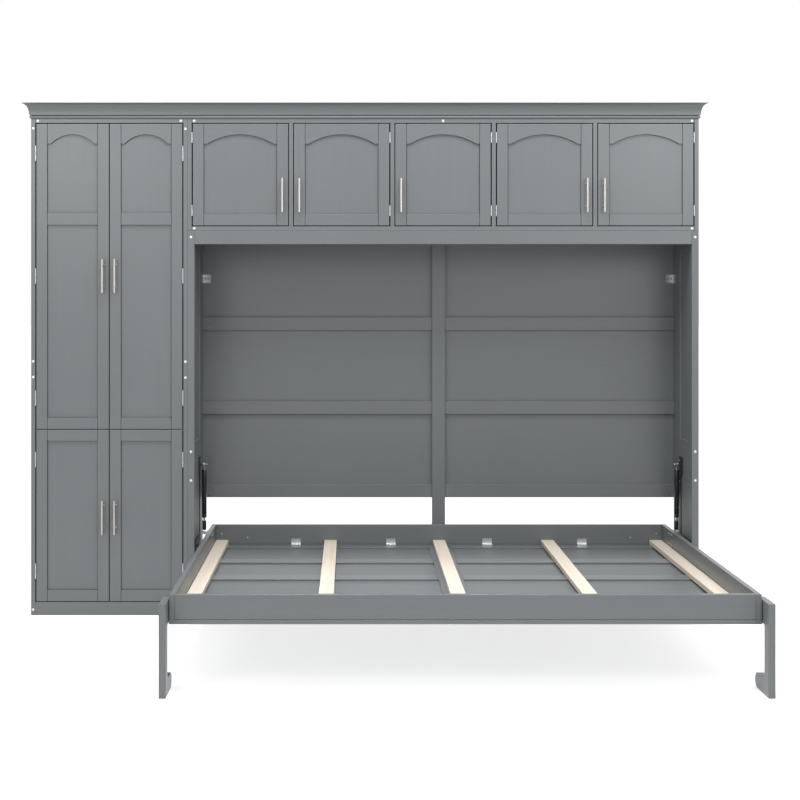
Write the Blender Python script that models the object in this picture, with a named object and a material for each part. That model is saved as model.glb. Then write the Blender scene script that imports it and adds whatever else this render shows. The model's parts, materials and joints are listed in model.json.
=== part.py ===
"""Murphy wall bed: a closet tower, a row of overhead cabinets, and below them a bed
cabinet with a queen-size bed that tilts up sideways.

Metres, +Z up, +X to the right, -Y towards the room. The origin is on the floor, under
the middle of the whole object's box. Depths are measured from the plane of the door
fronts: positive towards the wall, negative into the room.
"""

import math

import bmesh
import bpy
from mathutils import Matrix, Vector

# ---- driving dimensions -------------------------------------------------------------
CABINET_WIDTH = 2.929
CABINET_HEIGHT = 2.178
CABINET_DEPTH = 0.365
TOWER_WIDTH = 0.686
LOWER_HEIGHT = 1.688            # top of the bed cabinet, where the overhead boxes stand
LEG_REACH = 1.336               # from the door fronts to the front of the legs

BOARD = 0.018                   # cabinet boards and doors
BED_SIDE = 0.030                # the bed cabinet's thicker sides
BACK_SHEET = 0.006              # back panels
GAP = 0.0003                    # between pieces that touch
REVEAL = 0.0035                 # beside the inset doors

# ---- closet tower -------------------------------------------------------------------
BASE_HEIGHT = 0.058
MIDDLE_SHELF_Z = 0.8065
UPPER_SHELF_Z = 1.400
LOWER_DOOR_Z = (0.061, 0.814)
UPPER_DOOR_Z = (0.817, 2.1565)
SHELF_SETBACK = 0.020           # shelves stop behind the inset doors

# ---- overhead cabinets --------------------------------------------------------------
BAYS = 5
OVERHEAD_DOOR_Z = (1.710, 2.1565)
OVERHEAD_HINGE_SIDES = ("left", "right", "right", "left", "right")

# ---- doors and handles --------------------------------------------------------------
STILE = 0.050
PANEL_RECESS = 0.005
ARCH_SHOULDER = 0.012
ARCH_RISE = 0.041
ARCH_TOP_RAIL = 0.0475          # from the door's top to the arch's crown
MIDDLE_RAIL_Z = (1.712, 1.767)
ARCH_STEPS = 16
HINGE_OUT = 0.003               # hinge pin, in front of the door fronts
HANDLE_LENGTH = 0.150
HANDLE_RADIUS = 0.005
HANDLE_POST_RADIUS = 0.004
HANDLE_POST_SPREAD = 0.048
HANDLE_STANDOFF = 0.030
HANDLE_INSET = 0.025            # from the door's free edge
HANDLE_Z = {"upper": 1.488, "lower": 0.431, "overhead": 1.841}

# ---- bed cabinet --------------------------------------------------------------------
HEADER_HEIGHT = 0.060
STILE_DEPTH = 0.338             # front of the back frame's upright
RAIL_DEPTH = 0.344              # front of the back frame's rails
BACK_BAR = 0.060                # width of the upright and height of the rails
BACK_RAILS_Z = (0.470, 0.855, 1.242, 1.628)
SIDE_RECESS = 0.005
SIDE_RECESS_DEPTHS = (0.060, 0.236)
SIDE_RECESS_Z = (0.755, 1.600)

# ---- bed ----------------------------------------------------------------------------
BED_LENGTH = 2.089
BED_FRONT = -1.266
BED_REAR = 0.328
RAIL_THICK = 0.019
RAIL_Z = (0.259, 0.349)
FACE_BOARD = 0.015
FACE_OVERHANG = 0.002
FACE_STRIP = 0.090
FACE_STRIP_PITCH = 0.3715
FACE_ROWS = 4
FACE_MIDDLE = 0.100
FACE_END = 0.055
FACE_RECESS = 0.005
SLAT_WIDTH = 0.057
SLAT_THICK = 0.020
SLAT_PITCH = 0.4975

# ---- tilting gear: (depth, z) of each pivot -----------------------------------------
MAIN_PIVOT = (0.058, 0.296)
SPRING_TOP = (0.190, 0.639)
SPRING_FOOT = (0.200, 0.334)
PLATE_THICK = 0.003
MAIN_STUD_RADIUS = 0.006
SPRING_STUD_RADIUS = 0.005
RUNNING_CLEARANCE = 0.0003
BOSS_RADIUS = 0.012
BOSS_LENGTH = 0.012
SPRING_PLANE = 0.024            # gas spring's centre, off the cabinet side
CYLINDER_RADIUS = 0.011
CYLINDER_SPAN = (0.022, 0.240)  # along the spring, from its top pivot
BORE_RADIUS = 0.006
BORE_START = 0.030
ROD_RADIUS = 0.005
ROD_SPAN = (0.035, 0.262)
SLEEVE_RADIUS = 0.009
SLEEVE_SPAN = (0.254, 0.294)
EYE_RADIUS = 0.012
EYE_WIDTH = 0.012

# ---- legs ---------------------------------------------------------------------------
LEG_THICK = 0.025
LEG_SPACER = 0.004
LEG_SHAFT = 0.053
LEG_HEIGHT = 0.329
LEG_PIVOT_BACK = 0.130          # pivot, behind the leg's front
LEG_ARM_RADIUS = 0.041
FOOT_HEIGHT = 0.055
FOOT_REACH = 0.172
LEG_FILLET = 0.030
LEG_PIN_RADIUS = 0.006
LEG_PIN_REACH = 0.011           # of the pin, inside the rail
SPACER_RADIUS = 0.016

# ---- crown moulding: (out from the boxes, z) ----------------------------------------
CROWN_Z = CABINET_HEIGHT + GAP
CROWN_BEAD = 0.007
COVE_FOOT = (0.008, 2.195)
COVE_TOP = (0.033, 2.241)
CROWN_LIP = (0.035, 2.245)
CROWN_BACKING = 0.018
CURVE_STEPS = 8

SEGMENTS = 20                   # round pins, rods and handles

# ---- derived planes -----------------------------------------------------------------
FRONT = (LEG_REACH - CABINET_DEPTH) / 2
LEFT = -CABINET_WIDTH / 2
RIGHT = CABINET_WIDTH / 2
TOWER_RIGHT = LEFT + TOWER_WIDTH
BED_LEFT = TOWER_RIGHT + GAP
OPENING = (BED_LEFT + BED_SIDE, RIGHT - BED_SIDE)
BED_CENTRE = (OPENING[0] + OPENING[1]) / 2
BACK_FACE = CABINET_DEPTH - BACK_SHEET
INNER_DEPTH = BACK_FACE - GAP
RAIL_OUTER = (BED_CENTRE - BED_LENGTH / 2, BED_CENTRE + BED_LENGTH / 2)
RAIL_INNER = (RAIL_OUTER[0] + RAIL_THICK, RAIL_OUTER[1] - RAIL_THICK)

# name: colour, roughness, metallic
FINISHES = {
    "grey_paint": ((0.215, 0.232, 0.240), 0.45, 0.0),
    "pine": ((0.640, 0.500, 0.360), 0.60, 0.0),
    "brushed_steel": ((0.720, 0.700, 0.670), 0.35, 1.0),
    "black_steel": ((0.020, 0.020, 0.022), 0.45, 0.6),
    "spring_cylinder": ((0.010, 0.010, 0.011), 0.30, 0.2),
    "spring_rod": ((0.400, 0.400, 0.410), 0.25, 1.0),
}

ALONG_X = (0, math.pi / 2, 0)
PROFILE_XZ = (math.pi / 2, 0, 0)
PROFILE_YZ = (math.pi / 2, 0, math.pi / 2)


# ---- scene helpers ------------------------------------------------------------------
def clear_scene():
    for item in list(bpy.data.objects):
        bpy.data.objects.remove(item, do_unlink=True)


def new_collection(name):
    collection = bpy.data.collections.new(name)
    bpy.context.scene.collection.children.link(collection)
    return collection


def finish(piece, kind):
    """Give the piece a material of its own."""
    colour, roughness, metallic = FINISHES[kind]
    material = bpy.data.materials.new(piece.name)
    material.use_nodes = True
    shader = material.node_tree.nodes["Principled BSDF"]
    shader.inputs["Base Color"].default_value = (*colour, 1)
    shader.inputs["Roughness"].default_value = roughness
    shader.inputs["Metallic"].default_value = metallic
    piece.data.materials.append(material)


def add_object(name, mesh, centre, rotation, kind, parent):
    """Place a mesh; kind None makes it a cutter."""
    piece = bpy.data.objects.new(name, mesh)
    piece.location = centre
    piece.rotation_euler = rotation
    if parent:
        piece.parent = parent
        piece.matrix_parent_inverse = parent.matrix_basis.inverted()
    if kind:
        PARTS.objects.link(piece)
        finish(piece, kind)
    else:
        CUTTERS.objects.link(piece)
        piece.hide_render = True
        piece.display_type = "WIRE"
    return piece


def joint_empty(name, position, parent=None):
    """An empty on a joint's axis, for the pieces that move about it."""
    empty = bpy.data.objects.new(name, None)
    empty.location = position
    if parent:
        empty.parent = parent
        empty.matrix_parent_inverse = parent.matrix_basis.inverted()
    PARTS.objects.link(empty)
    return empty


def point(x, depth, z):
    return Vector((x, FRONT + depth, z))


def block(name, x, depth, z, kind=None, parent=None):
    """A box between two x, two depths and two heights."""
    low = point(x[0], depth[0], z[0])
    high = point(x[1], depth[1], z[1])
    mesh = bpy.data.meshes.new(name)
    shape = bmesh.new()
    bmesh.ops.create_cube(shape, size=1.0)
    bmesh.ops.scale(shape, vec=high - low, verts=shape.verts)
    shape.to_mesh(mesh)
    shape.free()
    return add_object(name, mesh, (low + high) / 2, (0, 0, 0), kind, parent)


def rod(name, radius, length, centre, rotation=(0, 0, 0), kind=None, parent=None):
    """A cylinder along its own Z axis."""
    mesh = bpy.data.meshes.new(name)
    shape = bmesh.new()
    bmesh.ops.create_cone(shape, cap_ends=True, segments=SEGMENTS, radius1=radius,
                          radius2=radius, depth=length)
    shape.to_mesh(mesh)
    shape.free()
    mesh.shade_smooth()
    mesh.set_sharp_from_angle(angle=math.radians(40))
    return add_object(name, mesh, centre, rotation, kind, parent)


def rod_along_x(name, radius, x, depth, z, kind=None, parent=None):
    centre = point((x[0] + x[1]) / 2, depth, z)
    return rod(name, radius, abs(x[1] - x[0]), centre, ALONG_X, kind, parent)


def outline(name, points, thickness, centre, rotation, kind=None, parent=None):
    """A flat outline with thickness, its middle plane through centre."""
    curve = bpy.data.curves.new(name, "CURVE")
    curve.dimensions = "2D"
    curve.fill_mode = "BOTH"
    curve.extrude = thickness / 2
    spline = curve.splines.new("POLY")
    spline.points.add(len(points) - 1)
    for place, (across, up) in zip(spline.points, points):
        place.co = (across, up, 0, 1)
    spline.use_cyclic_u = True
    flat = bpy.data.objects.new(name, curve)
    CUTTERS.objects.link(flat)
    graph = bpy.context.evaluated_depsgraph_get()
    mesh = bpy.data.meshes.new_from_object(flat.evaluated_get(graph))
    bpy.data.objects.remove(flat)
    bpy.data.curves.remove(curve)
    shape = bmesh.new()
    shape.from_mesh(mesh)
    bmesh.ops.remove_doubles(shape, verts=shape.verts, dist=0.00001)
    shape.to_mesh(mesh)
    shape.free()
    mesh.name = name
    return add_object(name, mesh, centre, rotation, kind, parent)


def arc(centre, radius, start, end, steps):
    """Points on an arc, from one angle in degrees to another."""
    angles = [math.radians(start + (end - start) * i / steps) for i in range(steps + 1)]
    return [(centre[0] + radius * math.cos(a), centre[1] + radius * math.sin(a))
            for a in angles]


def boolean(piece, operation, tool):
    change = piece.modifiers.new(tool.name, "BOOLEAN")
    change.operation = operation
    change.solver = "EXACT"
    change.object = tool


def cut(piece, *tools):
    for tool in tools:
        boolean(piece, "DIFFERENCE", tool)


def join(piece, *tools):
    for tool in tools:
        boolean(piece, "UNION", tool)


# ---- cabinets -----------------------------------------------------------------------
def build_tower():
    inner = (LEFT + BOARD + GAP, TOWER_RIGHT - BOARD - GAP)
    height = (0, CABINET_HEIGHT)
    whole = (0, CABINET_DEPTH)
    behind_doors = (SHELF_SETBACK, INNER_DEPTH)
    block("tower_left_side", (LEFT, LEFT + BOARD), whole, height, "grey_paint")
    block("tower_right_side", (TOWER_RIGHT - BOARD, TOWER_RIGHT), whole, height, "grey_paint")
    block("tower_top", inner, (0, INNER_DEPTH), (CABINET_HEIGHT - BOARD, CABINET_HEIGHT),
          "grey_paint")
    block("tower_back", inner, (BACK_FACE, CABINET_DEPTH), height, "grey_paint")
    shelves = {"tower_middle_shelf": MIDDLE_SHELF_Z, "tower_upper_shelf": UPPER_SHELF_Z}
    for name, bottom in shelves.items():
        block(name, inner, behind_doors, (bottom, bottom + BOARD), "grey_paint")

    # The bottom board stands on a plinth at the front and one at the back.
    board_z = BASE_HEIGHT - BOARD
    plinth_and_board = [
        (0, 0), (BOARD, 0), (BOARD, board_z), (INNER_DEPTH - BOARD, board_z),
        (INNER_DEPTH - BOARD, 0), (INNER_DEPTH, 0), (INNER_DEPTH, BASE_HEIGHT),
        (0, BASE_HEIGHT),
    ]
    outline("tower_base", plinth_and_board, inner[1] - inner[0],
            point((inner[0] + inner[1]) / 2, 0, 0), PROFILE_YZ, "grey_paint")


def bay_edges():
    """The left and right x of each overhead bay."""
    first = BED_LEFT + BOARD
    width = (RIGHT - BOARD - first - (BAYS - 1) * BOARD) / BAYS
    lefts = [first + i * (width + BOARD) for i in range(BAYS)]
    return [(left, left + width) for left in lefts]


def build_overhead():
    bottom = LOWER_HEIGHT + GAP
    top = CABINET_HEIGHT
    whole = (0, CABINET_DEPTH)
    inner = (BED_LEFT + BOARD + GAP, RIGHT - BOARD - GAP)
    to_back = (0, INNER_DEPTH)
    block("overhead_left_side", (BED_LEFT, BED_LEFT + BOARD), whole, (bottom, top), "grey_paint")
    block("overhead_right_side", (RIGHT - BOARD, RIGHT), whole, (bottom, top), "grey_paint")
    block("overhead_bottom", inner, to_back, (bottom, bottom + BOARD), "grey_paint")
    block("overhead_top", inner, to_back, (top - BOARD, top), "grey_paint")
    block("overhead_back", inner, (BACK_FACE, CABINET_DEPTH), (bottom, top), "grey_paint")
    divider_z = (bottom + BOARD + GAP, top - BOARD - GAP)
    for number, (_, right) in enumerate(bay_edges()[:-1], start=1):
        block(f"overhead_divider_{number}", (right, right + BOARD), to_back, divider_z,
              "grey_paint")


def build_bed_cabinet():
    whole = (0, CABINET_DEPTH)
    sides = {
        "left": ((BED_LEFT, OPENING[0]), (OPENING[0] - SIDE_RECESS, OPENING[0] + BOARD)),
        "right": ((OPENING[1], RIGHT), (OPENING[1] - BOARD, OPENING[1] + SIDE_RECESS)),
    }
    for side, (x, recess_x) in sides.items():
        panel = block(f"bed_cabinet_{side}_side", x, whole, (0, LOWER_HEIGHT), "grey_paint")
        cut(panel, block(f"{side}_recess_cutter", recess_x, SIDE_RECESS_DEPTHS, SIDE_RECESS_Z))

    inner = (OPENING[0] + GAP, OPENING[1] - GAP)
    block("header_rail", inner, (0, BOARD), (LOWER_HEIGHT - HEADER_HEIGHT, LOWER_HEIGHT),
          "grey_paint")
    block("back_panel", inner, (BACK_FACE, CABINET_DEPTH), (BACK_RAILS_Z[0], LOWER_HEIGHT),
          "grey_paint")

    upright_x = (BED_CENTRE - BACK_BAR / 2, BED_CENTRE + BACK_BAR / 2)
    frame = block("back_frame", upright_x, (STILE_DEPTH, INNER_DEPTH), (0, LOWER_HEIGHT),
                  "grey_paint")
    for number, bottom in enumerate(BACK_RAILS_Z, start=1):
        join(frame, block(f"back_rail_{number}", inner, (RAIL_DEPTH, INNER_DEPTH),
                          (bottom, bottom + BACK_BAR)))


def crown_side():
    """The moulding's outer side from bottom to top: (out, z)."""
    bead_centre = (0, CROWN_Z + CROWN_BEAD)
    bead = arc(bead_centre, CROWN_BEAD, -60, 80, CURVE_STEPS)
    span = (COVE_TOP[0] - COVE_FOOT[0], COVE_TOP[1] - COVE_FOOT[1])
    cove = []
    for step in range(CURVE_STEPS + 1):
        turn = math.radians(90 * step / CURVE_STEPS)
        cove.append((COVE_TOP[0] - span[0] * math.cos(turn),
                     COVE_FOOT[1] + span[1] * math.sin(turn)))
    return [(0, CROWN_Z)] + bead + cove + [(CROWN_LIP[0], COVE_TOP[1]), CROWN_LIP]


def build_crown():
    """The moulding, swept along the left side, the front and the right side."""
    section = crown_side() + [(-CROWN_BACKING, CROWN_LIP[1]), (-CROWN_BACKING, CROWN_Z)]
    stations = (
        lambda out, z: point(LEFT - out, CABINET_DEPTH, z),
        lambda out, z: point(LEFT - out, -out, z),
        lambda out, z: point(RIGHT + out, -out, z),
        lambda out, z: point(RIGHT + out, CABINET_DEPTH, z),
    )
    mesh = bpy.data.meshes.new("cornice")
    shape = bmesh.new()
    rings = []
    for station in stations:
        corners = [shape.verts.new(station(out, z)) for out, z in section]
        pairs = zip(corners, corners[1:] + corners[:1])
        rings.append([shape.edges.new(pair) for pair in pairs])
    for near, far in zip(rings, rings[1:]):
        bmesh.ops.bridge_loops(shape, edges=near + far)
    for end in (rings[0], rings[-1]):
        bmesh.ops.edgeloop_fill(shape, edges=end)
    bmesh.ops.recalc_face_normals(shape, faces=shape.faces)
    shape.to_mesh(mesh)
    shape.free()
    add_object("cornice", mesh, (0, 0, 0), (0, 0, 0), "grey_paint", None)


# ---- doors --------------------------------------------------------------------------
def arched_panel(left, right, bottom, crown):
    """A panel outline: square foot, flat shoulders and a round arch between them."""
    spring = crown - ARCH_RISE
    half = (right - left) / 2 - ARCH_SHOULDER
    radius = (half ** 2 + ARCH_RISE ** 2) / (2 * ARCH_RISE)
    turn = math.degrees(math.asin(half / radius))
    arch = arc(((left + right) / 2, crown - radius), radius, 90 - turn, 90 + turn, ARCH_STEPS)
    return [(left, bottom), (right, bottom), (right, spring)] + arch + [(left, spring)]


def build_handle(name, x, z, parent):
    bar = rod(name, HANDLE_RADIUS, HANDLE_LENGTH, point(x, -HANDLE_STANDOFF, z),
              kind="brushed_steel", parent=parent)
    for end, rise in (("low", -HANDLE_POST_SPREAD), ("high", HANDLE_POST_SPREAD)):
        post_length = HANDLE_STANDOFF - GAP
        centre = point(x, -GAP - post_length / 2, z + rise)
        join(bar, rod(f"{name}_{end}_post", HANDLE_POST_RADIUS, post_length, centre,
                      (math.pi / 2, 0, 0), parent=parent))


def build_door(name, x, z, hinge_side, handle_z, panels):
    """A door with recessed panels, its hinge empty and its handle.

    Each panel is (bottom, top, arched).
    """
    hinge_x = x[0] - REVEAL / 2 if hinge_side == "left" else x[1] + REVEAL / 2
    hinge = joint_empty(f"{name}_hinge", point(hinge_x, -HINGE_OUT, (z[0] + z[1]) / 2))
    door = block(name, x, (0, BOARD), z, "grey_paint", hinge)
    left, right = x[0] + STILE, x[1] - STILE
    for number, (bottom, top, arched) in enumerate(panels, start=1):
        if arched:
            shape = arched_panel(left, right, bottom, top)
        else:
            shape = [(left, bottom), (right, bottom), (right, top), (left, top)]
        cut(door, outline(f"{name}_panel_{number}", shape, 2 * PANEL_RECESS,
                          point(0, 0, 0), PROFILE_XZ, parent=hinge))
    handle_x = x[1] - HANDLE_INSET if hinge_side == "left" else x[0] + HANDLE_INSET
    build_handle(name.replace("door", "handle"), handle_x, handle_z, hinge)


def build_doors():
    inner = (LEFT + BOARD, TOWER_RIGHT - BOARD)
    middle = (inner[0] + inner[1]) / 2
    tower_sides = {
        "left": (inner[0] + REVEAL, middle - REVEAL / 2),
        "right": (middle + REVEAL / 2, inner[1] - REVEAL),
    }
    for side, x in tower_sides.items():
        build_door(f"tower_lower_{side}_door", x, LOWER_DOOR_Z, side, HANDLE_Z["lower"],
                   [(LOWER_DOOR_Z[0] + STILE, LOWER_DOOR_Z[1] - STILE, False)])
        build_door(f"tower_upper_{side}_door", x, UPPER_DOOR_Z, side, HANDLE_Z["upper"],
                   [(UPPER_DOOR_Z[0] + STILE, MIDDLE_RAIL_Z[0], False),
                    (MIDDLE_RAIL_Z[1], UPPER_DOOR_Z[1] - ARCH_TOP_RAIL, True)])
    for number, (edges, side) in enumerate(zip(bay_edges(), OVERHEAD_HINGE_SIDES), start=1):
        x = (edges[0] + REVEAL, edges[1] - REVEAL)
        build_door(f"overhead_door_{number}", x, OVERHEAD_DOOR_Z, side, HANDLE_Z["overhead"],
                   [(OVERHEAD_DOOR_Z[0] + STILE, OVERHEAD_DOOR_Z[1] - ARCH_TOP_RAIL, True)])


# ---- bed ----------------------------------------------------------------------------
def build_bed_frame(bed):
    """The four rails, the panelled face board under them and the slats on it."""
    rail_ends = (BED_FRONT, BED_REAR)
    rail_z = (RAIL_Z[0] + GAP, RAIL_Z[1])
    sides = {
        "left": (RAIL_OUTER[0], RAIL_INNER[0]),
        "right": (RAIL_INNER[1], RAIL_OUTER[1]),
    }
    pin_depth, pin_z = leg_pivot()
    for side, x in sides.items():
        rail = block(f"bed_{side}_rail", x, rail_ends, rail_z, "grey_paint", bed)
        outer = RAIL_OUTER[0] if side == "left" else RAIL_OUTER[1]
        reach = LEG_PIN_REACH + GAP
        hole_x = (outer - reach, outer + reach)
        cut(rail, rod_along_x(f"{side}_leg_pin_hole", LEG_PIN_RADIUS + RUNNING_CLEARANCE,
                              hole_x, pin_depth, pin_z, parent=bed))

    between = (RAIL_INNER[0] + GAP, RAIL_INNER[1] - GAP)
    block("bed_front_rail", between, (BED_FRONT, BED_FRONT + RAIL_THICK), rail_z,
          "grey_paint", bed)
    block("bed_rear_rail", between, (BED_REAR - RAIL_THICK, BED_REAR), rail_z,
          "grey_paint", bed)

    board = block("bed_face_board",
                  (RAIL_OUTER[0] - FACE_OVERHANG, RAIL_OUTER[1] + FACE_OVERHANG),
                  (BED_FRONT - FACE_OVERHANG, BED_REAR),
                  (RAIL_Z[0] - FACE_BOARD, RAIL_Z[0]), "grey_paint", bed)
    halves = ((RAIL_OUTER[0] + FACE_END, BED_CENTRE - FACE_MIDDLE / 2),
              (BED_CENTRE + FACE_MIDDLE / 2, RAIL_OUTER[1] - FACE_END))
    faces = {
        "inner": (RAIL_Z[0] - FACE_RECESS, RAIL_Z[0] + FACE_BOARD),
        "outer": (RAIL_Z[0] - 2 * FACE_BOARD, RAIL_Z[0] - FACE_BOARD + FACE_RECESS),
    }
    for row in range(FACE_ROWS):
        start = BED_FRONT + FACE_STRIP + row * FACE_STRIP_PITCH
        depth = (start, start + FACE_STRIP_PITCH - FACE_STRIP)
        for half, x in enumerate(halves, start=1):
            for face, z in faces.items():
                cut(board, block(f"face_{face}_{row + 1}_{half}_cutter", x, depth, z,
                                 parent=bed))

    slat_ends = (BED_FRONT + RAIL_THICK + GAP, BED_REAR - RAIL_THICK - GAP)
    slat_bottom = RAIL_Z[0] + GAP
    for number in range(1, 6):
        centre = BED_CENTRE + (number - 3) * SLAT_PITCH
        block(f"slat_{number}", (centre - SLAT_WIDTH / 2, centre + SLAT_WIDTH / 2), slat_ends,
              (slat_bottom, slat_bottom + SLAT_THICK), "pine", bed)


def leg_pivot():
    """Depth and height of the legs' pins."""
    return (LEG_PIVOT_BACK - LEG_REACH, LEG_HEIGHT - LEG_ARM_RADIUS)


def leg_outline():
    """A C: a foot and an arm, both round-ended, behind a straight shaft."""
    foot_radius = FOOT_HEIGHT / 2
    foot_end = arc((FOOT_REACH - foot_radius, foot_radius), foot_radius, -90, 90, CURVE_STEPS)
    low_fillet = arc((LEG_SHAFT + LEG_FILLET, FOOT_HEIGHT + LEG_FILLET), LEG_FILLET,
                     270, 180, CURVE_STEPS)
    arm_bottom = LEG_HEIGHT - 2 * LEG_ARM_RADIUS
    high_fillet = arc((LEG_SHAFT + LEG_FILLET, arm_bottom - LEG_FILLET), LEG_FILLET,
                      180, 90, CURVE_STEPS)
    arm_end = arc((LEG_PIVOT_BACK, LEG_HEIGHT - LEG_ARM_RADIUS), LEG_ARM_RADIUS,
                  -90, 90, 2 * CURVE_STEPS)
    return [(0, 0)] + foot_end + low_fillet + high_fillet + arm_end + [(0, LEG_HEIGHT)]


def build_leg(side, outer, towards_rail, bed):
    """A leg outside a rail, with its spacer and the pin that turns in the rail."""
    pin_depth, pin_z = leg_pivot()
    inner_face = outer - towards_rail * LEG_SPACER
    middle = inner_face - towards_rail * LEG_THICK / 2
    pivot = joint_empty(f"{side}_leg_pivot", point(middle, pin_depth, pin_z), bed)
    leg = outline(f"{side}_leg", leg_outline(), LEG_THICK, point(middle, -LEG_REACH, 0),
                  PROFILE_YZ, "grey_paint", pivot)
    spacer_end = outer - towards_rail * GAP
    pin_end = outer + towards_rail * LEG_PIN_REACH
    join(leg,
         rod_along_x(f"{side}_leg_spacer", SPACER_RADIUS, (middle, spacer_end), pin_depth,
                     pin_z, parent=pivot),
         rod_along_x(f"{side}_leg_pin", LEG_PIN_RADIUS, (middle, pin_end), pin_depth,
                     pin_z, parent=pivot))


# ---- tilting gear -------------------------------------------------------------------
def build_wall_plate(side, wall, inward):
    """An L-shaped plate on the cabinet side, with the main stud and the spring's stud."""
    foot, top = (0.020, 0.240), 0.673
    foot_z, upright_back, ear_z = (0.270, 0.325), 0.205, 0.605
    ear_front = 0.172
    shape = [
        (foot[0], foot_z[0]), (foot[1], foot_z[0]), (foot[1], top), (ear_front, top),
        (ear_front, ear_z), (upright_back, ear_z - (upright_back - ear_front)),
        (upright_back, foot_z[1]), (foot[0], foot_z[1]),
    ]
    near = wall + inward * GAP
    far = near + inward * PLATE_THICK
    plate = outline(f"wall_plate_{side}", shape, PLATE_THICK,
                    point((near + far) / 2, 0, 0), PROFILE_YZ, "black_steel")
    rail = RAIL_OUTER[0] if side == "left" else RAIL_OUTER[1]
    middle = (near + far) / 2
    join(plate,
         rod_along_x(f"{side}_main_stud", MAIN_STUD_RADIUS,
                     (middle, rail - inward * 2 * GAP), *MAIN_PIVOT),
         rod_along_x(f"{side}_spring_stud", SPRING_STUD_RADIUS,
                     (middle, wall + inward * (SPRING_PLANE + EYE_WIDTH)), *SPRING_TOP))


def build_pivot_plate(side, rail, inward, bed):
    """A plate on the bed's rail with a boss that turns on the main stud."""
    near = rail - inward * GAP
    far = near - inward * PLATE_THICK
    x = tuple(sorted((near, far)))
    plate = block(f"pivot_plate_{side}", x, (0.030, 0.225), (0.268, 0.345), "black_steel", bed)
    middle = (near + far) / 2
    join(plate, rod_along_x(f"{side}_boss", BOSS_RADIUS, (middle, far - inward * BOSS_LENGTH),
                            *MAIN_PIVOT, parent=bed))
    bore_x = (near + inward * BOSS_LENGTH, far - inward * 2 * BOSS_LENGTH)
    cut(plate, rod_along_x(f"{side}_boss_bore", MAIN_STUD_RADIUS + RUNNING_CLEARANCE, bore_x,
                           *MAIN_PIVOT, parent=bed))


def build_gas_spring(side, wall, inward):
    """A cylinder that swings on its stud, and the rod that slides in it."""
    x = wall + inward * SPRING_PLANE
    top = point(x, *SPRING_TOP)
    foot = point(x, *SPRING_FOOT)
    along = (foot - top).normalized()
    tilt = (math.atan2(along.y, -along.z), 0, 0)
    swing = joint_empty(f"{side}_spring_swing", top)

    def bar(name, radius, span, kind=None, parent=swing):
        centre = top + along * (span[0] + span[1]) / 2
        return rod(name, radius, span[1] - span[0], centre, tilt, kind, parent)

    eye_x = (x - EYE_WIDTH / 2, x + EYE_WIDTH / 2)
    cylinder = bar(f"gas_spring_cylinder_{side}", CYLINDER_RADIUS, CYLINDER_SPAN,
                   "spring_cylinder")
    join(cylinder,
         bar(f"{side}_cylinder_neck", ROD_RADIUS, (EYE_RADIUS - 0.003, CYLINDER_SPAN[0] + 0.004)),
         rod_along_x(f"{side}_top_eye", EYE_RADIUS, eye_x, *SPRING_TOP, parent=swing))
    cut(cylinder,
        rod_along_x(f"{side}_top_eye_bore", SPRING_STUD_RADIUS + RUNNING_CLEARANCE,
                    (x - EYE_WIDTH, x + EYE_WIDTH), *SPRING_TOP, parent=swing),
        bar(f"{side}_cylinder_bore", BORE_RADIUS, (BORE_START, CYLINDER_SPAN[1] + BORE_START)))

    slide = joint_empty(f"{side}_rod_slide", foot, swing)
    piston = bar(f"gas_spring_rod_{side}", ROD_RADIUS, ROD_SPAN, "spring_rod", slide)
    plate_face = (RAIL_OUTER[0] if side == "left" else RAIL_OUTER[1])
    plate_face -= inward * (2 * GAP + PLATE_THICK)
    join(piston,
         bar(f"{side}_sleeve", SLEEVE_RADIUS, SLEEVE_SPAN, parent=slide),
         rod_along_x(f"{side}_foot_eye", EYE_RADIUS, eye_x, *SPRING_FOOT, parent=slide),
         rod_along_x(f"{side}_foot_bolt", SPRING_STUD_RADIUS, (x, plate_face), *SPRING_FOOT,
                     parent=slide))


def build_bed():
    bed = joint_empty("bed_pivot", point(BED_CENTRE, *MAIN_PIVOT))
    build_bed_frame(bed)
    sides = (("left", OPENING[0], RAIL_OUTER[0], 1), ("right", OPENING[1], RAIL_OUTER[1], -1))
    for side, wall, rail, inward in sides:
        build_wall_plate(side, wall, inward)
        build_pivot_plate(side, rail, inward, bed)
        build_gas_spring(side, wall, inward)
        build_leg(side, rail, inward, bed)


clear_scene()
PARTS = new_collection("murphy_wall_bed")
CUTTERS = new_collection("cutters")
build_tower()
build_overhead()
build_bed_cabinet()
build_crown()
build_doors()
build_bed()
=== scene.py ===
"""The looks of the murphy wall bed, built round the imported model.

Metres, in the model's own frame: +X to the right, -Y towards the room, +Z up. A depth is
measured from the plane of the door fronts: positive towards the wall.
"""

import json
import math

import bmesh
import bpy
from mathutils import Matrix, Vector


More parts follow.
